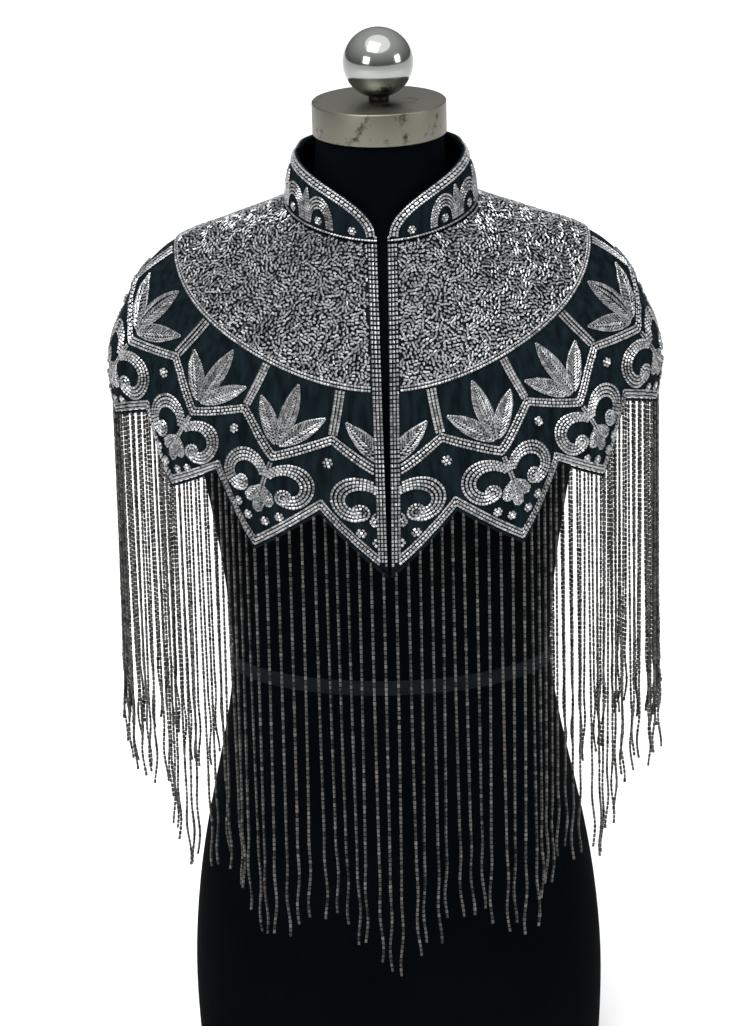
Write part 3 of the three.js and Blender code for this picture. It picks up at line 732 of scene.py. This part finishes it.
silver_glass = bead_finish("silver_glass_beads", (0.075, 0.077, 0.080, 1), (0.42, 0.425, 0.43, 1), 0.36)
sew_down(yoke, "yoke_beads", silver_glass)

# Bead bands: three rows sewn along the front edges, the cells under the yoke and the pointed hem.
# The outer rows are small dull beads end to end, and the middle row is brighter cut beads a little apart.
BAND_ROWS = (-0.0027, 0.0, 0.0027)
HEM_BAND_INSET = 0.0038
FRONT_ROWS = (0.0014, 0.0043, 0.0072)
BRIGHT_BEAD = (0.0037, 0.0030, 0.0021, 0.75)
DULL_BEAD = (0.0029, 0.0027, 0.0018, 0.5)
SPOKE_BEAD = (0.0034, 0.0030, 0.0022)
# Lighter spoke tints: painted light for the reflection the spokes lose on their steep slant.
SPOKE_PAINTED_LIGHT_TINTS = (0.65, 0.8)
FRONT_BEAD = (0.0036, 0.0029, 0.0020)
FRONT_SHADES = (0.5, 0.7)

bands = new_bag()


def band_row(u, radius, middle):
    """One row of a band: bright beads a little apart in the middle, small ones beside it."""
    sew_row(bands, u, radius, *(BRIGHT_BEAD if middle else DULL_BEAD))


def slanted(edge, first, last, inset):
    """A line at a distance inside a slanted edge of the cut, between two places."""
    u = np.linspace(first, last, 24)
    rise = (edge(np.array([last - 0.01])) - edge(np.array([first + 0.01])))[0] / (last - first - 0.02)
    square = math.hypot(1, rise / (CUT_ANGLE * edge(np.array([(first + last) / 2]))[0]))
    return u, edge(u) - inset * square


for half in range(2 * HEM_POINTS):
    first, last = half / 2, (half + 1) / 2
    for offset in BAND_ROWS:
        u, radius = slanted(hem_radius, first, last, HEM_BAND_INSET + offset)
        kept = clear_of_front(u, radius, FRONT_BAND * 0.6)
        band_row(u[kept], radius[kept], offset == 0)
        u, radius = slanted(cell_radius, first, last, offset)
        kept = clear_of_front(u, radius, FRONT_BAND)
        band_row(u[kept], radius[kept], offset == 0)

# The spokes between the cells take the lighter tints, painted light for their steep slant.
for cell in range(HEM_POINTS):
    radius = np.linspace(YOKE_RADIUS + 0.001, CELL_TOP - 0.004, 20)
    for offset in BAND_ROWS:
        u = cell + 0.5 + offset / (CUT_ANGLE * radius)
        sew_row(bands, u, radius, *SPOKE_BEAD, SPOKE_PAINTED_LIGHT_TINTS[offset == 0])

front_run = np.linspace(NECK_RADIUS + 0.001, HEM_TIP + HEM_FRONT_EXTRA - 0.003, 80)
for column, inset in enumerate(FRONT_ROWS):
    reach = (slit_half(front_run) + inset) / cape_frame(np.zeros_like(front_run), front_run)[4]
    for side in (1, -1):
        low = front_run <= hem_radius(side * reach) - 0.002
        sew_row(bands, side * reach[low], front_run[low], *FRONT_BEAD, FRONT_SHADES[column == 1])

sew_down(bands, "band_beads", silver_glass)

# Leaves: a spray of three pointed petals in each cell, outlined in small beads.
# Rows of fine bugles slant out from each petal's midrib to its outline.
PETAL_BASE = -0.010
MIDDLE_TIP = -0.068
SIDE_TIP = (0.0300, -0.044)
PETAL_WIDTH = 0.0142
PETAL_FOOT = 0.002
PETAL_FULLEST = 0.9
PETAL_OUTLINE = 0.0021
FINE_WIDTH = 0.0016
FILL_PITCH = 0.0027
FILL_SLANT = math.radians(38)

motifs = new_bag()


def on_cut(point, lateral, along):
    """Place on the cut from the axis of a hem point: sideways, and down from the cell's tip."""
    radius = CELL_TIP + np.asarray(along, dtype=float)
    return point + np.asarray(lateral, dtype=float) / (CUT_ANGLE * radius), radius


def motif_row(point, lateral, along, pitch, length, width, shade):
    """A row of motif beads, left out where the front bands run."""
    u, radius = on_cut(point, lateral, along)
    row = new_bag()
    sew_row(row, u, radius, pitch, length, width, shade)
    merge_clear(row)


def merge_clear(row):
    """Moves beads that are clear of the front bands into the motifs."""
    kept = clear_of_front(np.concatenate(row["u"]), np.concatenate(row["radius"]), FRONT_BAND)
    for key in motifs:
        motifs[key].append(np.concatenate(row[key])[kept])


def lobe(point, base, tip, width, fullest, outline):
    """A petal from base to tip, pointed at both ends, outlined and filled from its midrib."""
    base, tip = np.array(base), np.array(tip)
    length = np.linalg.norm(tip - base)
    ahead = (tip - base) / length
    beside = np.array([-ahead[1], ahead[0]])
    t = np.linspace(0, 1, 30)
    half = width / 2 * np.sin(np.pi * t**fullest) ** 0.85
    for side in (1, -1):
        line = base + np.outer(t * length, ahead) + np.outer(side * half, beside)
        motif_row(point, line[:, 0], line[:, 1], outline, outline * 0.92, FINE_WIDTH, 0.45)
    steps = np.arange(0.05, 0.95, FILL_PITCH / length)
    room = np.interp(steps + 0.07, t, half)
    stroke = np.clip(room / math.sin(FILL_SLANT), FINE_WIDTH, None)
    row = new_bag()
    for side in (1, -1):
        slant = ahead * math.cos(FILL_SLANT) + side * beside * math.sin(FILL_SLANT)
        for share in (0.25, 0.75):
            middle = base + np.outer(steps * length, ahead) + np.outer(stroke * share, slant)
            u, radius = on_cut(point, middle[:, 0], middle[:, 1])
            drop_in(row, u, radius, math.atan2(slant[1], slant[0]), stroke * 0.48, FINE_WIDTH, 0.38)
    merge_clear(row)


for point in range(HEM_POINTS):
    lobe(point, (0, PETAL_BASE), (0, MIDDLE_TIP), PETAL_WIDTH, PETAL_FULLEST, PETAL_OUTLINE)
    for side in (1, -1):
        side_tip = (side * SIDE_TIP[0], SIDE_TIP[1])
        side_base = (side * PETAL_FOOT, PETAL_BASE)
        lobe(point, side_base, side_tip, PETAL_WIDTH, PETAL_FULLEST, PETAL_OUTLINE)

# Scrolls and flowers: below each cell a short stem opens into a pair of curled scrolls round a small flower.
# Each scroll is four rows of bugles side by side, and small rosettes of beads fill the ground.
SCROLL_CENTRE = (0.0240, 0.0230)
SCROLL_RADIUS = 0.0130
SCROLL_START = math.radians(192)
SCROLL_SWEEP = math.radians(282)
SCROLL_WIDTH = 0.0096
SCROLL_ROWS = (-1.0, -0.33, 0.33, 1.0)
SCROLL_MOUTH = 0.0105
SCROLL_TIGHTER = 0.0025
SCROLL_BEAD = (0.0032, 0.0027, 0.0022, 0.6)
STALK_SPAN = (0.005, 0.026)
STALK_ROWS = (-0.0013, 0.0013)
STALK_BEAD = (0.0024, 0.0022, 0.0018, 0.6)
CURL_RADIUS = 0.0062
CURL_INSET = 0.0035
CURL_RINGS = ((CURL_RADIUS, 15), (CURL_RADIUS * 0.55, 8), (0.0, 1))
FLOWER_FULLEST = 1.35
FLOWER_OUTLINE = 0.0022
ROSETTE_RADIUS = 0.0029
ROSETTE_PLACES = ((0.0205, 0.0500), (0.0085, 0.0580))
ROSETTE_BETWEEN = -0.007


def rosette(bag, point, lateral, along):
    """Six small beads round a bright one."""
    spin = np.arange(6) * np.pi / 3
    ring = ROSETTE_RADIUS * np.cos(spin), ROSETTE_RADIUS * np.sin(spin)
    u, radius = on_cut(point, lateral + ring[0], along + ring[1])
    drop_in(bag, u, radius, spin + np.pi / 2, 0.0026, 0.0024, 0.6)
    u, radius = on_cut(point, lateral, along)
    drop_in(bag, u, radius, 0.0, 0.0026, 0.0026, 0.9)


for point in range(HEM_POINTS):
    stalk_run = np.linspace(*STALK_SPAN, 10)
    for offset in STALK_ROWS:
        motif_row(point, np.full_like(stalk_run, offset), stalk_run, *STALK_BEAD)
    for side in (1, -1):
        t = np.linspace(0, 1, 60)
        turn = SCROLL_START + SCROLL_SWEEP * t
        spiral = SCROLL_RADIUS + SCROLL_MOUTH * (1 - t) ** 4 - SCROLL_TIGHTER * t**6
        band = SCROLL_WIDTH / 2 * (0.65 + 0.35 * ease(t, 0.0, 0.35))
        for share in SCROLL_ROWS:
            reach = spiral + share * band
            lateral = side * (SCROLL_CENTRE[0] + reach * np.cos(turn))
            motif_row(point, lateral, SCROLL_CENTRE[1] + reach * np.sin(turn), *SCROLL_BEAD)
        curl_at = SCROLL_START + SCROLL_SWEEP
        curl = (
            side * (SCROLL_CENTRE[0] + (SCROLL_RADIUS - CURL_INSET) * math.cos(curl_at)),
            SCROLL_CENTRE[1] + (SCROLL_RADIUS - CURL_INSET) * math.sin(curl_at),
        )
        for ring, beads in CURL_RINGS:
            spin = np.arange(beads) * 2 * np.pi / beads
            row = new_bag()
            u, radius = on_cut(point, curl[0] + ring * np.cos(spin), curl[1] + ring * np.sin(spin))
            drop_in(row, u, radius, spin + np.pi / 2, 0.0023, 0.0021, 0.6)
            merge_clear(row)
        flower_base, flower_tip = (side * 0.001, 0.0265), (side * 0.0115, 0.0430)
        lobe(point, flower_base, flower_tip, 0.0092, FLOWER_FULLEST, FLOWER_OUTLINE)
        for lateral, along in ROSETTE_PLACES:
            row = new_bag()
            rosette(row, point, side * lateral, along)
            merge_clear(row)
    lobe(point, (0, 0.0300), (0, 0.0515), 0.0098, FLOWER_FULLEST, FLOWER_OUTLINE)
    rosette(motifs, point + 0.5, 0.0, ROSETTE_BETWEEN)

sew_down(motifs, "motif_beads", silver_glass)

# Stand collar: a stiff band of doubled black crepe sewn to the neck edge, cut away to a V in front.
# Its top edge is bound, with a softly gathered strip of the same crepe turned to the inside.
COLLAR_TOP = 0.876
COLLAR_FRONT = 0.809
COLLAR_END_ANGLE = math.radians(5)
COLLAR_FULL_ANGLE = math.radians(105)
COLLAR_CURVE = 0.5
COLLAR_BOW = 2.2
COLLAR_LEAN_SIDE = 0.26
COLLAR_LEAN_BACK = 0.08
COLLAR_WALL = 0.0020
SEAM_GAP = 0.00035
COLLAR_COLUMNS = 301
COLLAR_ROWS = 17
NECK_U = 0.034
UP = np.array([0.0, 0.0, 1.0])


def collar_line(u):
    """The collar's foot, the way out of it, its lean and height, and the length of one u, along the neck."""
    point, _, down, out, scale = cape_frame(u, np.full_like(u, NECK_RADIUS))
    outward = unit(out * (1, 1, 0))
    from_front = np.abs(np.arctan2(point[..., 0], -point[..., 1]))
    lean = COLLAR_LEAN_BACK + (COLLAR_LEAN_SIDE - COLLAR_LEAN_BACK) * np.sin(from_front) ** 2
    setback = SEAM_GAP + COLLAR_WALL / 2 * np.abs(np.sum(outward * down, axis=-1))
    foot = point - down * setback[..., None]
    climb = np.clip((from_front - COLLAR_END_ANGLE) / (COLLAR_FULL_ANGLE - COLLAR_END_ANGLE), 0, 1)
    height = COLLAR_FRONT + (COLLAR_TOP - COLLAR_FRONT) * climb**COLLAR_CURVE - foot[..., 2]
    return foot, outward, lean, height, scale


def collar_place(u, lift, side):
    """Point on the collar at a height above its foot and out of its middle layer, the ways up and out."""
    foot, outward, lean, height, _ = collar_line(u)
    share = np.clip(lift / height, 0, 1)
    inward = lean * height * share**COLLAR_BOW
    bend = lean * COLLAR_BOW * share ** (COLLAR_BOW - 1)
    rise = unit(UP - outward * bend[..., None])
    through = unit(outward + UP * bend[..., None])
    side = np.broadcast_to(side, lift.shape)
    point = foot + UP * lift[..., None] - outward * inward[..., None] + through * side[..., None]
    return point, rise, through


collar_slit = float(slit_u(np.array([NECK_RADIUS]))[0])
collar_middle = HEM_POINTS / 2
collar_u = collar_middle - (collar_middle - collar_slit) * np.cos(np.linspace(0, math.pi, COLLAR_COLUMNS))
height = collar_line(collar_u)[3]
climb = np.linspace(1, 0, COLLAR_ROWS)[:, None]
collar_grid = np.broadcast_to(collar_u, (COLLAR_ROWS, COLLAR_COLUMNS))
collar_points = collar_place(collar_grid, climb * height, COLLAR_WALL / 2)[0]
collar_cut = np.stack(np.broadcast_arrays(collar_u * NECK_U, climb * height), axis=-1)
collar = cloth_piece("collar_cloth", collar_points, collar_cut, COLLAR_WALL)
collar.data.materials.append(crepe)
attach(collar, "root")
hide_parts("collar")

BINDING_DEEP = 0.009
BINDING_THICK = 0.0006
BINDING_BELLY = 0.0016
BINDING_GAP = 0.0001
BINDING_ROWS = 9
ruche = 0.0007 * np.sin(collar_u * 41 + 2 * np.sin(collar_u * 7)) + 0.0004 * np.sin(collar_u * 87)
drop = np.linspace(0, 1, BINDING_ROWS)[:, None]
belly = np.sin(np.pi * np.clip(drop, 0.04, 1)) * (BINDING_BELLY + ruche) * ease(height, 0.006, 0.03)
binding_lift = height - drop * np.minimum(BINDING_DEEP, height * 0.8)
binding_side = -COLLAR_WALL / 2 - BINDING_GAP - belly
binding_grid = np.broadcast_to(collar_u, (BINDING_ROWS, COLLAR_COLUMNS))
binding_points = collar_place(binding_grid, binding_lift, binding_side)[0]
binding_cut = np.stack(np.broadcast_arrays(collar_u * NECK_U, drop * BINDING_DEEP), axis=-1)
binding = cloth_piece("collar_binding", binding_points[:, ::-1], binding_cut[:, ::-1], -BINDING_THICK)
binding.data.materials.append(crepe)
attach(binding, "root")

# Collar beads: a band of three rows along the top edge and down the V, and a row along the neck seam.
# Between them stand small bead arches, each with a rosette inside and a bud beside it.
ARCH_STEP = 27.0
ARCH_HALF = 12.5
ARCH_HEIGHT = 0.024
ARCH_ROWS = (1.0, 0.88, 0.76, 0.64)
BUD_FOOT = 0.012
BUD_LENGTH = 0.020
BUD_SPREAD = (-0.12, -0.06, 0.0, 0.06, 0.12)
BUD_BEAD = (0.0022, 0.0021, 0.0018, 0.45)
FIRST_ARCH = 43.5
ARCH_FOOT = 0.0045
ARCH_BEAD = (0.0024, 0.0022, 0.0018, 0.45)
EDGE_ROWS = (0.0014, 0.0044, 0.0074)
EDGE_BRIGHT = (0.0046, 0.0040, 0.0022, 0.85)
EDGE_DULL = (0.0026, 0.0024, 0.0018, 0.6)
SEAM_LIFT = 0.0014
SEAM_BEAD = (0.0028, 0.0026, 0.0019, 0.45)
SMALL_ROSETTE = 0.0026
ARCH_ROSETTE = 0.0090
FRONT_ROSETTE = 0.0080
FRONT_ROSETTE_ANGLE = 17.0
DEGREES_PER_U = 360 / HEM_POINTS

collar_bag = new_bag()


def collar_row(u, lift, pitch, length, width, shade):
    """A row of beads along a line on the collar, given by u and the height above its foot."""
    scale = collar_line(u)[4]
    across = np.diff(u) * scale[1:]
    up = np.diff(lift)
    run = np.concatenate([[0], np.cumsum(np.hypot(across, up))])
    count = max(1, round(run[-1] / pitch))
    at = (np.arange(count) + 0.5) * run[-1] / count
    leg = np.clip(np.searchsorted(run, at) - 1, 0, len(up) - 1)
    turn = np.arctan2(up[leg], across[leg])
    drop_in(collar_bag, np.interp(at, run, u), np.interp(at, run, lift), turn, length, width, shade)


def collar_rosette(u, lift):
    """Six small beads round a bright one."""
    spin = np.arange(6) * np.pi / 3
    ring_u = u + SMALL_ROSETTE * np.cos(spin) / collar_line(np.array([u]))[4]
    ring_lift = lift + SMALL_ROSETTE * np.sin(spin)
    drop_in(collar_bag, ring_u, ring_lift, spin + np.pi / 2, 0.0024, 0.0022, 0.6)
    drop_in(collar_bag, u, lift, 0.0, 0.0024, 0.0024, 0.9)


neck_scale = collar_line(collar_u)[4]
edge_run = np.gradient(collar_u) * neck_scale
edge_climb = np.gradient(height)
edge_length = np.hypot(edge_run, edge_climb)
for inset in EDGE_ROWS:
    u = collar_u + inset * edge_climb / edge_length / neck_scale
    lift = height - inset * edge_run / edge_length
    kept = (lift > 0.0025) & (np.abs(u - collar_middle) < collar_middle - collar_slit)
    collar_row(u[kept], lift[kept], *(EDGE_BRIGHT if inset == EDGE_ROWS[1] else EDGE_DULL))
collar_row(collar_u, np.full_like(collar_u, SEAM_LIFT), *SEAM_BEAD)

arch_angles = np.arange(FIRST_ARCH, 180, ARCH_STEP)
arch_places = np.concatenate([arch_angles, 360 - arch_angles])
for degrees in arch_places:
    t = np.linspace(0, np.pi, 40)
    for row in ARCH_ROWS:
        u = (degrees + ARCH_HALF * row * np.cos(t)) / DEGREES_PER_U
        collar_row(u, ARCH_FOOT + ARCH_HEIGHT * row * np.sin(t) ** 0.8, *ARCH_BEAD)
    collar_rosette(degrees / DEGREES_PER_U, ARCH_ROSETTE)
    bud = (degrees + ARCH_STEP / 2 * (1 if degrees < 180 else -1)) / DEGREES_PER_U
    for spread in BUD_SPREAD:
        s = np.linspace(0, 1, 12)
        u = bud + spread * np.sin(np.pi * s**0.8)
        collar_row(u, BUD_FOOT + BUD_LENGTH * s, *BUD_BEAD)
for degrees in (FRONT_ROSETTE_ANGLE, 360 - FRONT_ROSETTE_ANGLE):
    collar_rosette(degrees / DEGREES_PER_U, FRONT_ROSETTE)

sewn = {key: np.concatenate(values) for key, values in collar_bag.items()}
face = COLLAR_WALL / 2 + sewn["width"] * BEAD_LIFT
centre, rise, through = collar_place(sewn["u"], sewn["radius"], face)
axis = np.cross(rise, through) * np.cos(sewn["turn"])[:, None] + rise * np.sin(sewn["turn"])[:, None]
collar_beads = bead_piece(
    "collar_beads", centre, axis, through, sewn["length"], sewn["width"], sewn["tint"], silver_glass
)

# Fringe: strands of grey glass bugles on thread, knotted to a narrow black tape under the pointed hem.
# Each strand hangs free from its own place, and its end curls where the thread is tied off.
STRANDS_PER_POINT = 11
STRAND_BEAD = 0.0043
STRAND_WIDTH = 0.0024
LENGTH_FRONT = 0.378
LENGTH_SIDE = 0.336
UNEVEN = 0.007
TAPE_DROP = 0.0008
TAPE_DEEP = 0.0034
TAPE_LIFT = 0.0002
TAPE_WALL = 0.0012
TAPE_ROWS = 4
TAPE_COLUMNS_PER_POINT = 16
TAPE_U = 0.09
STRAND_INSET = 0.0004
LOOSE_FROM = 0.72
SWAY = 0.0028
END_CURL = 0.0016

grey_glass = bead_finish("grey_glass_strands", (0.006, 0.006, 0.0058, 1), (0.098, 0.095, 0.089, 1), 0.35)


def strand_beads(u):
    """Centres and axes of the beads on the strand at one place on the hem."""
    start = np.array([u])
    root_radius = hem_radius(start) + TAPE_DROP + TAPE_DEEP * 0.5
    point, _, _, out, _ = cape_frame(start, root_radius)
    root = (point - out * STRAND_INSET)[0]
    side_share = abs(math.sin(u * STEP_ANGLE)) ** 3
    length = LENGTH_FRONT + (LENGTH_SIDE - LENGTH_FRONT) * side_share + UNEVEN * math.sin(u * 47.3)
    stations = np.linspace(0, 1, round(length / STRAND_BEAD) + 1)
    loose = ease(stations, LOOSE_FROM, 1.0)
    phase = chance.uniform(0, 2 * np.pi, 4)
    drift = SWAY * stations**2
    path = np.stack([
        root[0] + drift * math.sin(phase[0]) + END_CURL * loose * np.sin(34 * stations + phase[1]),
        root[1] + drift * math.sin(phase[2]) + END_CURL * loose * np.sin(29 * stations + phase[3]),
        root[2] - stations * length,
    ], axis=1)
    return (path[1:] + path[:-1]) / 2, unit(path[1:] - path[:-1])


fringe_nodes = {"fringe_front_right": (0.0, 0.5), "fringe_front_left": (HEM_POINTS - 0.5, HEM_POINTS)}
for point in range(1, HEM_POINTS):
    middle = HEM_POINTS // 2
    side_name = f"right_{point}" if point < middle else f"left_{HEM_POINTS - point}"
    fringe_nodes["fringe_back" if point == middle else f"fringe_{side_name}"] = (point - 0.5, point + 0.5)

for fringe_node, (first, last) in fringe_nodes.items():
    strands = round((last - first) * STRANDS_PER_POINT)
    spacing = (last - first) / strands
    made = [strand_beads(first + (i + 0.5) * spacing) for i in range(strands)]
    centre = np.concatenate([strand[0] for strand in made])
    axis = np.concatenate([strand[1] for strand in made])
    count = len(centre)
    out = np.tile([0.0, -1.0, 0.0], (count, 1))
    length = STRAND_BEAD * chance.normal(0.97, 0.03, count)
    width = STRAND_WIDTH * chance.normal(1, 0.08, count)
    tint = np.clip(chance.normal(0.45, 0.28, count), 0, 1)
    fringe = bead_piece(f"{fringe_node}_strands", centre, axis, out, length, width, tint, grey_glass)
    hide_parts(fringe_node)
    middle_u = (first + last) / 2
    for panel, (start, end) in PANELS.items():
        if start <= middle_u < end:
            panel_trim[panel].append(fringe)

tape_u = np.linspace(0, HEM_POINTS, HEM_POINTS * TAPE_COLUMNS_PER_POINT + 1)
tape_slit = np.clip(1 - 2 * tape_u, 0, 1) - np.clip(1 - 2 * (HEM_POINTS - tape_u), 0, 1)
tape_place = tape_u + tape_slit * slit_u(np.full_like(tape_u, HEM_TIP))
tape_rows = []
for drop in np.linspace(0, 1, TAPE_ROWS):
    tape_radius = hem_radius(tape_u) + TAPE_DROP + drop * TAPE_DEEP
    point, _, _, out, _ = cape_frame(tape_place, tape_radius)
    tape_rows.append(point + out * TAPE_LIFT)
tape_depths = np.linspace(0, TAPE_DEEP, TAPE_ROWS)[:, None]
tape_cut = np.stack(np.broadcast_arrays(tape_u * TAPE_U, tape_depths), axis=-1)
hem_tape = cloth_piece("fringe_tape", np.array(tape_rows), tape_cut, TAPE_WALL)
hem_tape.data.materials.append(crepe)
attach(hem_tape, "root")
panel_trim["back"].append(hem_tape)
